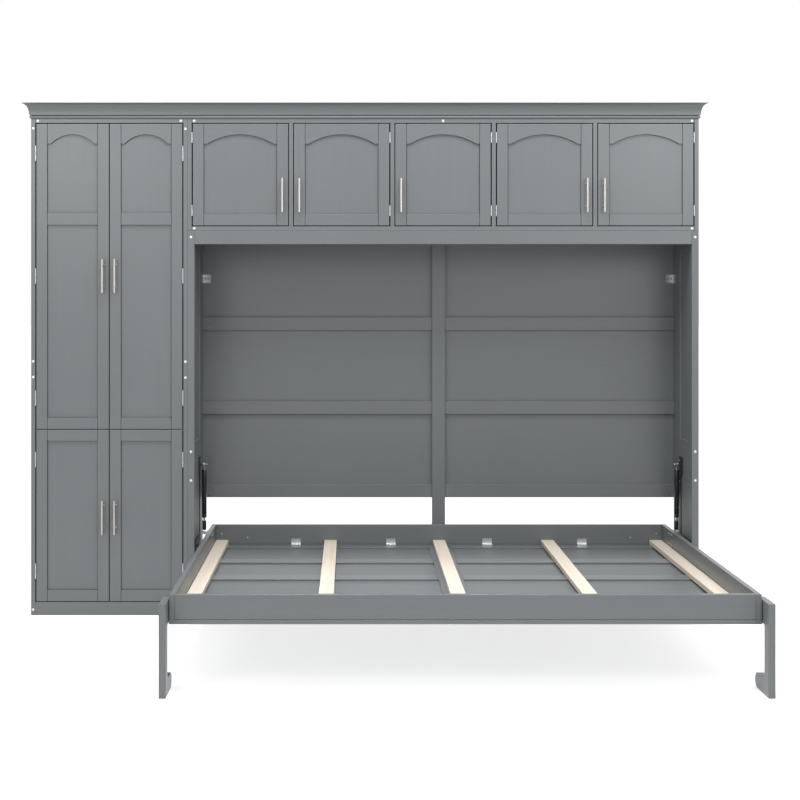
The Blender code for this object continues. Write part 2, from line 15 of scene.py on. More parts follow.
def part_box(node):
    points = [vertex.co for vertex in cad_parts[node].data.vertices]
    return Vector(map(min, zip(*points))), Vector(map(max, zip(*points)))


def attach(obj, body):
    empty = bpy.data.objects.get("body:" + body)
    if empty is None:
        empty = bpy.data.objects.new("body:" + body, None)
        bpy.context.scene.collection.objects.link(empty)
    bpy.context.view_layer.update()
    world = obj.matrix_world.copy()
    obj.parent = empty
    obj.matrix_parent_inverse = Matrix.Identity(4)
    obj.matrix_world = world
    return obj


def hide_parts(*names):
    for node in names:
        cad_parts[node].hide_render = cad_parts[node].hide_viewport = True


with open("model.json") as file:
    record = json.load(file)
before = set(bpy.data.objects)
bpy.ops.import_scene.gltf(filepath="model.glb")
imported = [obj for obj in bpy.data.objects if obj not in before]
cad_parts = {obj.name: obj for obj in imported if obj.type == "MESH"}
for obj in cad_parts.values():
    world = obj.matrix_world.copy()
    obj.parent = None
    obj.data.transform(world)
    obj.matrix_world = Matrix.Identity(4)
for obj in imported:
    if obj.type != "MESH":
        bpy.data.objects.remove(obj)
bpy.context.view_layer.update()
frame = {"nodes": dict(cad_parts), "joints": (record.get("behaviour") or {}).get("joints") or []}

# ---- planes and places read from the frame ------------------------------------------
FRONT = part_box("tower_upper_left_door")[0].y
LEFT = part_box("tower_left_side")[0].x
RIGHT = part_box("bed_cabinet_right_side")[1].x
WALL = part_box("tower_left_side")[1].y
OPENING = (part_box("bed_cabinet_left_side")[1].x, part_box("bed_cabinet_right_side")[0].x)
BED_CENTRE = (OPENING[0] + OPENING[1]) / 2
PINS = {joint["child"]: Vector(joint["pos_m"]) for joint in frame["joints"]
        if "pos_m" in joint}

# ---- doors --------------------------------------------------------------------------
STILE = 0.050
ARCH_SHOULDER = 0.015
ARCH_RISE = 0.041
ARCH_TOP_RAIL = 0.0475
MIDDLE_RAIL_Z = (1.712, 1.767)
ARCH_STEPS = 48
JOINT_GAP = 0.0010              # beside each joint between door boards
PANEL_FIELD = 0.0085            # depth of the panel's face
PANEL_PLATE = 0.0100            # depth of the groove round it
PANEL_BACK = 0.014
PANEL_GROOVE = 0.0005
DOOR_EDGE = 0.0016
HINGE_SIDE_TRIM = 0.0014        # the door stands this much further from its hinge edge

# ---- handles and hinges -------------------------------------------------------------
HANDLE_RADIUS = 0.0055
HANDLE_CHAMFER = 0.0012
POST_RADIUS = 0.004
POST_FOOT_RADIUS = 0.0062
POST_SPREAD = 0.048
KNUCKLE_RADIUS = 0.0026
KNUCKLES = 5
LEAF_THICK = 0.0008
LEAF_DEPTH = 0.016
REVEAL = 0.0035                 # between a door's hinge edge and its cabinet
HINGES = {                      # height of each hinge's middle, and its length
    "tower_upper": ((0.953, 1.488, 2.026), 0.065),
    "tower_lower": ((0.194, 0.683), 0.065),
    "overhead": ((1.775, 2.096), 0.045),
}

# ---- crown moulding: (out from the cabinets, z) -------------------------------------
CROWN_FOOT_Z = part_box("cornice")[0].z
CROWN_TOP_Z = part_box("cornice")[1].z
CROWN_REACH = 0.035
CROWN_BEAD = 0.0065
CROWN_FILLET_Z = 0.0168         # above the foot: where the cove starts
CROWN_LIP = 0.0016
CROWN_BACKING = 0.018
CROWN_STEPS = 24
MITRE_GAP = 0.00015

# ---- bed ----------------------------------------------------------------------------
BED_FRONT_DEPTH = -1.266
FACE_STRIP = 0.090
FACE_STRIP_PITCH = 0.3715
FACE_ROWS = 4
FACE_END = 0.057
FACE_MIDDLE = 0.100
FACE_RECESS = 0.005             # under the bed
TRAY_RECESS = 0.007             # inside the tray
LEG_THICK = 0.025
LEG_SHAFT = 0.053
LEG_FILLET = 0.030
LEG_ARM_FILLET = 0.008
LEG_ARM_RADIUS = 0.041
LEG_FOOT = (0.172, 0.055)       # how far the foot reaches back, and its height
LEG_STEPS = 24
LEG_SPACER = 0.0036
TRAY_BRACKETS = (-0.657, -0.221, 0.221, 0.657)  # from the bed's centre
TRAY_BRACKET_LEGS = (0.026, 0.020)              # up the rail, and across the board
TRAY_BRACKET_HALF = 0.0215
TRAY_SCREW_RADIUS = 0.0038
RAIL_SCREWS = ((1.000, 0.307), (0.880, 0.289))  # from the bed's centre, and z

# ---- back of the bed cabinet --------------------------------------------------------
GAP = 0.0003                    # between pieces that touch
UPRIGHT_HALF = 0.030
BACK_RAILS_Z = (0.470, 0.855, 1.242, 1.628)
BACK_RAIL_DEPTH = 0.344
BACK_RAIL_HEIGHT = 0.060
BACK_RAIL_SCREW = (1.058, 0.016)    # from the bed's centre, and above the rail's foot
BACK_BRACKET_Z = 1.480
BACK_BRACKET_LEG = 0.038
BACK_BRACKET_HALF = 0.0195
BACK_BRACKET_HOLES = (0.014, 0.028)
BRACKET_THICK = 0.002
SHEET_SCREW_INSET = 0.012
SHEET_SCREW_PITCH = 0.250
SHEET_SCREW_RADIUS = 0.0036
CAP_INSET = 0.011
CAP_HEIGHTS = {
    "tower_left_side": (0.025, 1.045, 1.114, 2.136),
    "tower_right_side": (1.042, 1.112, 2.134),
    "bed_cabinet_left_side": (0.591, 0.717, 1.659),
    "bed_cabinet_right_side": (0.591, 0.717, 1.659),
}

# ---- tilting gear -------------------------------------------------------------------
INWARD = {"left": 1, "right": -1}
SPRING_EYE_RADIUS = 0.012
SPRING_EYE_HALF = 0.006
SPRING_EYE_CHAMFER = 0.0008
STUD_RADIUS = 0.005
STUD_CLEARANCE = 0.0003
CYLINDER_RADIUS = 0.011
CYLINDER_SPAN = (0.022, 0.240)  # along the spring, from its top pivot
SLEEVE_SPAN = (0.254, 0.294)
PLATE_THICK = 0.003
WALL_PLATE_BOLTS = (            # depth and z
    (0.100, 0.310), (0.222, 0.300), (0.222, 0.440), (0.222, 0.560), (0.222, 0.655),
    (0.030, 0.312),
)
WALL_PLATE_BOLT_RADIUS = 0.0055
PIVOT_BOLT_DEPTHS = (0.110, 0.160)
PIVOT_BOLT_Z = (0.283, 0.330)
BOLT_RADIUS = 0.0045

# ---- rounding and roundness ---------------------------------------------------------
EDGE = 0.0012                   # painted boards
RAIL_EDGE = 0.0020
PANEL_EDGE = 0.0005
FACE_STILE_EDGE = 0.0008
FACE_STRIP_EDGE = 0.0010
SLAT_EDGE = 0.0015
LEG_EDGE = 0.0015
METAL_EDGE = 0.0004
BEVEL_ANGLE = math.radians(30)  # sharper edges than this are rounded
SHARP_ANGLE = math.radians(35)
SEGMENTS = 32
SMALL_SEGMENTS = 24

# ---- colours ------------------------------------------------------------------------
PAINT = (0.110, 0.118, 0.122)
PINE_STOPS = ((0.30, (0.42, 0.345, 0.26)), (0.42, (0.50, 0.435, 0.36)),
              (0.58, (0.535, 0.485, 0.415)), (0.72, (0.56, 0.515, 0.45)))
FLOOR = (0.45, 0.45, 0.45)

# ---- studio -------------------------------------------------------------------------
ROOM_LIGHT = 1.0
FLOOR_GLOW = 0.72
FLOOR_REACH = 60.0
FLOOR_Z = -0.0005
OVER_BOX_POWER = 112.0
SIDE_BOX_POWER = 26.0
BED_BOX_POWER = 11.0
BED_BOX_SPREAD = math.radians(36)
CAMERA_DISTANCE = 6.451         # in front of the door fronts
CAMERA_X = -0.0597
CAMERA_Z = 1.405
CAMERA_LENS = 66.17
CAMERA_SENSOR = 36.0
CAMERA_SHIFT = (0.06087, -0.13125)


# ---- materials ----------------------------------------------------------------------
def new_material(name, colour, roughness, metallic=0.0):
    """A material and its shader, with one colour to start from."""
    made = bpy.data.materials.new(name)
    made.use_nodes = True
    shader = made.node_tree.nodes["Principled BSDF"]
    shader.inputs["Base Color"].default_value = (*colour, 1)
    shader.inputs["Roughness"].default_value = roughness
    shader.inputs["Metallic"].default_value = metallic
    return made, shader


def link(made, output, socket):
    """Join two sockets of a material."""
    made.node_tree.links.new(output, socket)


def stretched(made, stretch):
    """Object coordinates, scaled along each axis by its own amount."""
    place = made.node_tree.nodes.new("ShaderNodeTexCoord")
    mapping = made.node_tree.nodes.new("ShaderNodeMapping")
    mapping.inputs["Scale"].default_value = stretch
    link(made, place.outputs["Object"], mapping.inputs["Vector"])
    return mapping.outputs["Vector"]


def noise(made, stretch, detail=3.0, roughness=0.5, distortion=0.0):
    """Noise with its own scale along each axis."""
    made_noise = made.node_tree.nodes.new("ShaderNodeTexNoise")
    made_noise.inputs["Scale"].default_value = 1.0
    made_noise.inputs["Detail"].default_value = detail
    made_noise.inputs["Roughness"].default_value = roughness
    made_noise.inputs["Distortion"].default_value = distortion
    link(made, stretched(made, stretch), made_noise.inputs["Vector"])
    return made_noise.outputs["Fac"]


def mixed(made, first, second, share):
    """A weighted mean of two values."""
    blend = made.node_tree.nodes.new("ShaderNodeMix")
    blend.data_type = "FLOAT"
    blend.inputs["Factor"].default_value = share
    link(made, first, blend.inputs["A"])
    link(made, second, blend.inputs["B"])
    return blend.outputs["Result"]


def ramp(made, value, stops):
    """Colours by value; each stop is (value, colour)."""
    made_ramp = made.node_tree.nodes.new("ShaderNodeValToRGB")
    elements = made_ramp.color_ramp.elements
    while len(elements) < len(stops):
        elements.new(0.5)
    for element, (position, colour) in zip(elements, stops):
        element.position = position
        element.color = (*colour, 1)
    link(made, value, made_ramp.inputs["Fac"])
    return made_ramp.outputs["Color"]


def remap(made, value, source, target):
    """A value carried from one range to another."""
    made_range = made.node_tree.nodes.new("ShaderNodeMapRange")
    for name, number in zip(("From Min", "From Max", "To Min", "To Max"), source + target):
        made_range.inputs[name].default_value = number
    link(made, value, made_range.inputs["Value"])
    return made_range.outputs["Result"]


def bump(made, height, strength, distance, under=None):
    """A normal from a height, on top of another normal if one is given."""
    made_bump = made.node_tree.nodes.new("ShaderNodeBump")
    made_bump.inputs["Strength"].default_value = strength
    made_bump.inputs["Distance"].default_value = distance
    link(made, height, made_bump.inputs["Height"])
    if under:
        link(made, under, made_bump.inputs["Normal"])
    return made_bump.outputs["Normal"]


def along(axis, length, across):
    """Noise stretch for a grain that runs along an axis."""
    stretch = [across] * 3
    stretch[axis] = length
    return stretch


def grey_paint(name, axis, roughness=(0.31, 0.41)):
    """Semi-gloss grey paint over wood whose grain runs along one axis."""
    made, shader = new_material(name, PAINT, 0.42)
    grain = noise(made, along(axis, 1.6, 75.0), detail=5.0, roughness=0.62)
    cloud = noise(made, (2.2, 2.2, 2.2), detail=2.0)
    tone = mixed(made, grain, cloud, 0.45)
    dark = [channel * 0.96 for channel in PAINT]
    light = [channel * 1.04 for channel in PAINT]
    link(made, ramp(made, tone, [(0.32, dark), (0.68, light)]), shader.inputs["Base Color"])
    link(made, remap(made, tone, (0.3, 0.7), roughness), shader.inputs["Roughness"])
    peel = bump(made, noise(made, (260.0, 260.0, 260.0), detail=1.0), 0.10, 0.0003)
    pores = noise(made, along(axis, 26.0, 620.0), detail=2.0)
    link(made, bump(made, pores, 0.16, 0.0004, peel), shader.inputs["Normal"])
    return made


def pine(name):
    """Bare planed pine, with its grain along Y."""
    made, shader = new_material(name, (0.78, 0.64, 0.49), 0.6)
    rings = noise(made, along(1, 1.3, 46.0), detail=5.0, roughness=0.55, distortion=0.6)
    fibre = noise(made, along(1, 16.0, 520.0), detail=3.0)
    tone = mixed(made, rings, fibre, 0.35)
    link(made, ramp(made, tone, PINE_STOPS), shader.inputs["Base Color"])
    link(made, remap(made, fibre, (0.3, 0.7), (0.52, 0.70)), shader.inputs["Roughness"])
    link(made, bump(made, fibre, 0.30, 0.0005), shader.inputs["Normal"])
    return made


def brushed_metal(name, colour, roughness, axis):
    """Metal with fine brush lines along one axis."""
    made, shader = new_material(name, colour, roughness, 1.0)
    lines = noise(made, along(axis, 12.0, 1900.0), detail=2.0)
    dark = [channel * 0.86 for channel in colour]
    link(made, ramp(made, lines, [(0.3, dark), (0.7, colour)]), shader.inputs["Base Color"])
    spread = (roughness - 0.06, roughness + 0.08)
    link(made, remap(made, lines, (0.3, 0.7), spread), shader.inputs["Roughness"])
    link(made, bump(made, lines, 0.10, 0.0002), shader.inputs["Normal"])
    return made


def plated_steel(name, colour):
    """Zinc plate, faintly mottled."""
    made, shader = new_material(name, colour, 0.30, 1.0)
    spangle = noise(made, (420.0, 420.0, 420.0), detail=2.0)
    dark = [channel * 0.84 for channel in colour]
    link(made, ramp(made, spangle, [(0.35, dark), (0.65, colour)]),
         shader.inputs["Base Color"])
    link(made, remap(made, spangle, (0.3, 0.7), (0.24, 0.40)), shader.inputs["Roughness"])
    return made


def powder_coat(name):
    """Satin black powder coat with its fine texture."""
    made, shader = new_material(name, (0.009, 0.009, 0.010), 0.55)
    grit = noise(made, (900.0, 900.0, 900.0), detail=2.0)
    stops = [(0.35, (0.006, 0.006, 0.007)), (0.65, (0.013, 0.013, 0.014))]
    link(made, ramp(made, grit, stops), shader.inputs["Base Color"])
    link(made, remap(made, grit, (0.3, 0.7), (0.48, 0.64)), shader.inputs["Roughness"])
    link(made, bump(made, grit, 0.35, 0.0003), shader.inputs["Normal"])
    return made


def gloss_black(name):
    """Gloss black lacquer on the gas springs' cylinders."""
    made, shader = new_material(name, (0.008, 0.008, 0.009), 0.18)
    film = noise(made, (60.0, 60.0, 60.0), detail=2.0)
    stops = [(0.3, (0.006, 0.006, 0.007)), (0.7, (0.012, 0.012, 0.013))]
    link(made, ramp(made, film, stops), shader.inputs["Base Color"])
    link(made, remap(made, film, (0.3, 0.7), (0.14, 0.24)), shader.inputs["Roughness"])
    return made


def moulded_plastic(name, colour):
    """Satin moulded plastic."""
    made, shader = new_material(name, colour, 0.35)
    skin = noise(made, (700.0, 700.0, 700.0), detail=2.0)
    dark = [channel * 0.93 for channel in colour]
    link(made, ramp(made, skin, [(0.3, dark), (0.7, colour)]), shader.inputs["Base Color"])
    link(made, remap(made, skin, (0.3, 0.7), (0.30, 0.42)), shader.inputs["Roughness"])
    return made


def studio_floor(name):
    """A white sweep that gives back a little light, as a lit studio table does."""
    made, shader = new_material(name, FLOOR, 0.9)
    cloud = noise(made, (0.7, 0.7, 0.7), detail=1.0)
    dark = [channel * 0.97 for channel in FLOOR]
    link(made, ramp(made, cloud, [(0.3, dark), (0.7, FLOOR)]), shader.inputs["Base Color"])
    shader.inputs["Emission Color"].default_value = (1, 1, 1, 1)
    shader.inputs["Emission Strength"].default_value = FLOOR_GLOW
    return made


PAINTS = [grey_paint(f"grey_paint_{name}", axis) for axis, name in enumerate("xyz")]
STRIP_PAINT = grey_paint("grey_paint_strips", 0, (0.26, 0.32))
MATT_PAINT = grey_paint("grey_paint_matt", 2, (0.52, 0.62))
PINE = pine("pine")
NICKEL = brushed_metal("brushed_nickel", (0.50, 0.48, 0.455), 0.34, 2)
CHROME = brushed_metal("chrome_rod", (0.62, 0.62, 0.64), 0.16, 2)
ZINC = plated_steel("zinc_plate", (0.56, 0.57, 0.59))
# Zinc darkened as painted shade: a darker copy of the zinc plate that stands in for the dim
# reflections of the shaded recess.
SHADED_ZINC = plated_steel("zinc_plate_painted_shade", (0.27, 0.285, 0.31))
BLACK_STEEL = powder_coat("black_powder_coat")
GLOSS_BLACK = gloss_black("gloss_black")
WHITE_PLASTIC = moulded_plastic("white_plastic", (0.62, 0.63, 0.64))
BLACK_PLASTIC = moulded_plastic("black_plastic", (0.018, 0.018, 0.019))


# ---- shapes -------------------------------------------------------------------------
def point(x, depth, z):
    """A place given by its depth behind the door fronts."""
    return Vector((x, FRONT + depth, z))


def aimed(origin, direction):
    """A matrix whose own Z runs from a point along a direction."""
    turn = Vector(direction).to_track_quat("Z", "Y").to_matrix().to_4x4()
    return Matrix.Translation(origin) @ turn


def add_board(shape, low, high):
    """A box between two corners."""
    low, high = Vector(low), Vector(high)
    corners = bmesh.ops.create_cube(shape, size=1.0)["verts"]
    bmesh.ops.scale(shape, vec=high - low, verts=corners)
    bmesh.ops.translate(shape, vec=(low + high) / 2, verts=corners)


def add_layers(shape, loops, closed=False):
    """A skin over loops of equal count: capped at both ends, or closed into a ring."""
    rings = [[shape.verts.new(corner) for corner in loop] for loop in loops]
    pairs = list(zip(rings, rings[1:]))
    if closed:
        pairs.append((rings[-1], rings[0]))
    else:
        shape.faces.new(rings[0])
        shape.faces.new(rings[-1])
    for near, far in pairs:
        for i in range(len(near)):
            j = (i + 1) % len(near)
            shape.faces.new((near[i], near[j], far[j], far[i]))


def add_turned(shape, profile, place, segments=SEGMENTS):
    """A solid turned about the place's Z; profile is (radius, height), axis to axis."""
    rings = []
    for radius, height in profile:
        count = 1 if radius == 0 else segments
        angles = [2 * math.pi * i / segments for i in range(count)]
        rings.append([shape.verts.new(place @ Vector((radius * math.cos(a),
                                                      radius * math.sin(a), height)))
                      for a in angles])
    for near, far in zip(rings, rings[1:]):
        for i in range(segments):
            j = (i + 1) % segments
            corners = (near[i % len(near)], near[j % len(near)],
                       far[j % len(far)], far[i % len(far)])
            shape.faces.new(list(dict.fromkeys(corners)))


def add_ring(shape, inner, outer, half_width, chamfer, place, segments=SEGMENTS):
    """A flat-sided ring with chamfered edges, about the place's Z."""
    section = [(inner, -half_width + chamfer), (inner + chamfer, -half_width),
               (outer - chamfer, -half_width), (outer, -half_width + chamfer),
               (outer, half_width - chamfer), (outer - chamfer, half_width),
               (inner + chamfer, half_width), (inner, half_width - chamfer)]
    loops = []
    for step in range(segments):
        turn = 2 * math.pi * step / segments
        loops.append([place @ Vector((r * math.cos(turn), r * math.sin(turn), h))
                      for r, h in section])
    add_layers(shape, loops, closed=True)


def arc(centre, radius, start, end, steps):
    """Points on an arc, from one angle in degrees to another."""
    angles = [math.radians(start + (end - start) * i / steps) for i in range(steps + 1)]
    return [(centre[0] + radius * math.cos(a), centre[1] + radius * math.sin(a))
            for a in angles]


def on_xz(outline, depth):
    """An (x, z) outline set at a depth."""
    return [point(x, depth, z) for x, z in outline]


def on_yz(outline, x):
    """A (depth, z) outline set at an x."""
    return [point(x, depth, z) for depth, z in outline]


def round_edges(made, width, segments=2):
    """Round the edges; the flat faces keep their own shading."""
    edges = made.modifiers.new("rounded_edges", "BEVEL")
    edges.width = width
    edges.segments = segments
    edges.limit_method = "ANGLE"
    edges.angle_limit = BEVEL_ANGLE
    edges.harden_normals = True


def add_piece(name, shape, body, look, edge=0.0):
    """Turn a shape into a piece that moves with a body."""
    bmesh.ops.recalc_face_normals(shape, faces=shape.faces)
    mesh = bpy.data.meshes.new(name)
    shape.to_mesh(mesh)
    shape.free()
    mesh.materials.append(look)
    mesh.shade_smooth()
    made = bpy.data.objects.new(name, mesh)
    bpy.context.scene.collection.objects.link(made)
    if edge:
        round_edges(made, edge)
    else:
        mesh.set_sharp_from_angle(angle=SHARP_ANGLE)
    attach(made, body)
    return made


def longest_axis(low, high):
    """The axis along which a box is longest."""
    size = Vector(high) - Vector(low)
    return max(range(3), key=lambda i: size[i])


def outer_and_inner(side, name):
    """The x of a side piece's outer and of its inner face."""
    low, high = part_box(name)
    return (low.x, high.x) if side == "left" else (high.x, low.x)


def board(name, low, high, body, edge=EDGE, axis=None, look=None):
    """A painted board, its grain along its longest side unless an axis is given."""
    if axis is None:
        axis = longest_axis(low, high)
    shape = bmesh.new()
    add_board(shape, low, high)
    return add_piece(name, shape, body, look or PAINTS[axis], edge)


# ---- carried-over boards ------------------------------------------------------------
def dress_node(name, look, edge):
    """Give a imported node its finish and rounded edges."""
    node = frame["nodes"][name]
    for material_slot in node.material_slots:
        material_slot.material = look
    weld = node.modifiers.new("weld", "WELD")
    weld.merge_threshold = 0.0001
    round_edges(node, edge)


def dress_boards():
    """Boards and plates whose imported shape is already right.

    The bed cabinet's sides are matt; every other painted board has its grain along its
    longest side.
    """
    painted = [
        "tower_left_side", "tower_right_side", "tower_top", "tower_base", "tower_back",
        "tower_middle_shelf", "tower_upper_shelf", "overhead_left_side",
        "overhead_right_side", "overhead_top", "overhead_bottom", "overhead_back",
        "bed_cabinet_left_side", "bed_cabinet_right_side", "header_rail", "back_panel",
        "bed_left_rail", "bed_right_rail", "bed_front_rail", "bed_rear_rail",
    ]
    painted += [f"overhead_divider_{number}" for number in range(1, 5)]
    for name in painted:
        edge = RAIL_EDGE if name.startswith("bed_") and name.endswith("_rail") else EDGE
        look = PAINTS[longest_axis(*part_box(name))]
        if name.startswith("bed_cabinet"):
            look = MATT_PAINT
        dress_node(name, look, edge)
    for number in range(1, 6):
        dress_node(f"slat_{number}", PINE, SLAT_EDGE)
    for side in INWARD:
        dress_node(f"wall_plate_{side}", BLACK_STEEL, METAL_EDGE)
        dress_node(f"pivot_plate_{side}", BLACK_STEEL, METAL_EDGE)


# ---- doors --------------------------------------------------------------------------
def arch(left, right, crown):
    """The arch's points from left to right, shoulders included."""
    spring = crown - ARCH_RISE
    half = (right - left) / 2 - ARCH_SHOULDER
    radius = (half ** 2 + ARCH_RISE ** 2) / (2 * ARCH_RISE)
    turn = math.degrees(math.asin(half / radius))
    centre = ((left + right) / 2, crown - radius)
    curve = arc(centre, radius, 90 + turn, 90 - turn, ARCH_STEPS)
    return [(left, spring)] + curve + [(right, spring)]


def panel_outline(x, z, arched, inset):
    """An opening's outline, drawn in by an inset."""
    left, right = x[0] + inset, x[1] - inset
    bottom, top = z[0] + inset, z[1] - inset
    if arched:
        upper = arch(left, right, top)
    else:
        upper = [(left, top), (right, top)]
    return [(right, bottom), (left, bottom)] + upper


def build_panel(name, x, z, arched, body):
    """A flat panel, its face set back from the frame, with a narrow groove round it."""
    levels = ((JOINT_GAP, PANEL_BACK), (JOINT_GAP, PANEL_PLATE),
              (PANEL_GROOVE, PANEL_PLATE), (PANEL_GROOVE, PANEL_FIELD))
    shape = bmesh.new()
    add_layers(shape, [on_xz(panel_outline(x, z, arched, inset), depth)
                       for inset, depth in levels])
    return add_piece(name, shape, body, PAINTS[2], PANEL_EDGE)


def build_top_rail(name, x, crown, top, thickness, body):
    """The door's top rail, with the arch cut in its lower edge."""
    outline = arch(x[0], x[1], crown) + [(x[1], top), (x[0], top)]
    shape = bmesh.new()
    add_layers(shape, [on_xz(outline, 0), on_xz(outline, thickness)])
    return add_piece(name, shape, body, PAINTS[0], DOOR_EDGE)


def build_door(node, openings):
    """A door's stiles, rails and panels; each opening is (bottom, top, arched)."""
    low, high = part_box(node)
    left, right = low.x + STILE, high.x - STILE
    if PINS[node].x < low.x:
        low.x += HINGE_SIDE_TRIM
    else:
        high.x -= HINGE_SIDE_TRIM
    board(f"{node}_left_stile", low, (left - JOINT_GAP, high.y, high.z), node, DOOR_EDGE)
    board(f"{node}_right_stile", (right + JOINT_GAP, low.y, low.z), high, node, DOOR_EDGE)
    rail_bottom = low.z
    for number, (bottom, top, arched) in enumerate(openings, start=1):
        rail = "bottom" if number == 1 else "middle"
        board(f"{node}_{rail}_rail", (left, low.y, rail_bottom), (right, high.y, bottom),
              node, DOOR_EDGE, axis=0)
        build_panel(f"{node}_panel_{number}", (left, right), (bottom, top), arched, node)
        rail_bottom = top
    name = f"{node}_top_rail"
    if openings[-1][2]:
        top_rail = build_top_rail(name, (left, right), rail_bottom, high.z,
                                  high.y - low.y, node)
    else:
        top_rail = board(name, (left, low.y, rail_bottom), (right, high.y, high.z), node,
                         DOOR_EDGE, axis=0)
    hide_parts(node)


def build_handle(node, body):
    """A bar handle on two flared posts."""
    low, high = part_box(node)
    x, z = (low.x + high.x) / 2, (low.z + high.z) / 2
    bar_y = low.y + HANDLE_RADIUS
    half = (high.z - low.z) / 2
    shape = bmesh.new()
    inner = HANDLE_RADIUS - HANDLE_CHAMFER
    bar = [(0, -half), (inner, -half), (HANDLE_RADIUS, -half + HANDLE_CHAMFER),
           (HANDLE_RADIUS, half - HANDLE_CHAMFER), (inner, half), (0, half)]
    add_turned(shape, bar, Matrix.Translation((x, bar_y, z)))
    reach = high.y - bar_y
    post = [(0, 0), (POST_FOOT_RADIUS, 0), (POST_FOOT_RADIUS, 0.0008),
            (POST_RADIUS + 0.0006, 0.0022), (POST_RADIUS, 0.0045), (POST_RADIUS, reach),
            (0, reach)]
    for rise in (-POST_SPREAD, POST_SPREAD):
        add_turned(shape, post, aimed((x, high.y, z + rise), (0, -1, 0)))
    made = add_piece(f"{node}_bar", shape, body, NICKEL)
    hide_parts(node)


def add_leaf(shape, pin, face_x, towards_pin, span, knuckles):
    """A hinge leaf on a face, with a tab to each of its own knuckles, and its screws."""
    x = sorted((face_x + towards_pin * 0.0001, face_x + towards_pin * LEAF_THICK))
    start = FRONT + 0.0003
    add_board(shape, (x[0], start, span[0]), (x[1], start + LEAF_DEPTH, span[1]))
    for bottom, top in knuckles:
        add_board(shape, (x[0], pin.y, bottom), (x[1], start, top))
    screws = 3 if span[1] - span[0] > 0.05 else 2
    for number in range(screws):
        z = span[0] + (number + 0.5) / screws * (span[1] - span[0])
        head = [(0, 0), (0.0028, 0), (0.0022, 0.0003), (0, 0.0003)]
        place = aimed((face_x + towards_pin * LEAF_THICK, start + 0.6 * LEAF_DEPTH, z),
                      (towards_pin, 0, 0))
        add_turned(shape, head, place, 16)


def add_knuckle(shape, pin, bottom, top):
    """One hinge knuckle, its ends slightly rounded."""
    soft = 0.0003
    inner = KNUCKLE_RADIUS - soft
    profile = [(0, bottom), (inner, bottom), (KNUCKLE_RADIUS, bottom + soft),
               (KNUCKLE_RADIUS, top - soft), (inner, top), (0, top)]
    add_turned(shape, profile, Matrix.Translation((pin.x, pin.y, 0)), SMALL_SEGMENTS)


def build_hinges(node, heights, length):
    """The butt hinges of one door: what stays on the cabinet, and what swings."""
    pin = PINS[node]
    into_door = 1 if pin.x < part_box(node)[0].x else -1
    fixed, swinging = bmesh.new(), bmesh.new()
    pitch = length / KNUCKLES
    for height in heights:
        span = (height - length / 2, height + length / 2)
        knuckles = [(span[0] + i * pitch + 0.0001, span[0] + (i + 1) * pitch - 0.0001)
                    for i in range(KNUCKLES)]
        for number, (bottom, top) in enumerate(knuckles):
            add_knuckle(fixed if number % 2 == 0 else swinging, pin, bottom, top)
        cabinet_face = pin.x - into_door * REVEAL / 2
        add_leaf(fixed, pin, cabinet_face, into_door, span, knuckles[0::2])
        door_face = pin.x + into_door * (REVEAL / 2 + HINGE_SIDE_TRIM)
        add_leaf(swinging, pin, door_face, -into_door, span, knuckles[1::2])
        tip = [(0, 0), (0.0022, 0), (0.0022, 0.0010), (0.0014, 0.0018), (0, 0.0020)]
        add_turned(fixed, tip, aimed((pin.x, pin.y, span[1] - 0.0001), (0, 0, 1)), 16)
        add_turned(fixed, tip, aimed((pin.x, pin.y, span[0] + 0.0001), (0, 0, -1)), 16)
    add_piece(f"{node}_hinge_fixed_leaves", fixed, "cabinet", ZINC)
    add_piece(f"{node}_hinge_swinging_leaves", swinging, node, ZINC)


def build_doors():
    """All nine doors, their handles and their hinges."""
    for side in INWARD:
        node = f"tower_upper_{side}_door"
        low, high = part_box(node)
        build_door(node, [(low.z + STILE, MIDDLE_RAIL_Z[0], False),
                          (MIDDLE_RAIL_Z[1], high.z - ARCH_TOP_RAIL, True)])
        node = f"tower_lower_{side}_door"
        low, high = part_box(node)
        build_door(node, [(low.z + STILE, high.z - STILE, False)])
    for number in range(1, 6):
        node = f"overhead_door_{number}"
        low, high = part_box(node)
        build_door(node, [(low.z + STILE, high.z - ARCH_TOP_RAIL, True)])
    for node in frame["nodes"]:
        if node.endswith("_handle") or "_handle_" in node:
            build_handle(node, node.replace("handle", "door"))
    for node in PINS:
        if "door" in node:
            kind = node.rsplit("_", 2)[0]
            heights, length = HINGES[kind]
            build_hinges(node, heights, length)


# ---- cabinet trim and hardware ------------------------------------------------------
def crown_section():
    """The moulding's section, out from the cabinets, foot to lip and back."""
    bead = arc((0, CROWN_FOOT_Z + 0.007), CROWN_BEAD, -68, 82, CROWN_STEPS // 2)
    foot = (0.0075, CROWN_FOOT_Z + CROWN_FILLET_Z)
    top = (CROWN_REACH - 0.0006, CROWN_TOP_Z - CROWN_LIP)
    cove = []
    for step in range(CROWN_STEPS + 1):
        turn = math.radians(90 * step / CROWN_STEPS)
        cove.append((top[0] - (top[0] - foot[0]) * math.cos(turn),
                     foot[1] + (top[1] - foot[1]) * math.sin(turn)))
    return ([(0, CROWN_FOOT_Z)] + bead + [(0.0058, foot[1] - 0.0012)] + cove
            + [(CROWN_REACH, CROWN_TOP_Z - 0.0008), (CROWN_REACH, CROWN_TOP_Z),
               (-CROWN_BACKING, CROWN_TOP_Z), (-CROWN_BACKING, CROWN_FOOT_Z)])


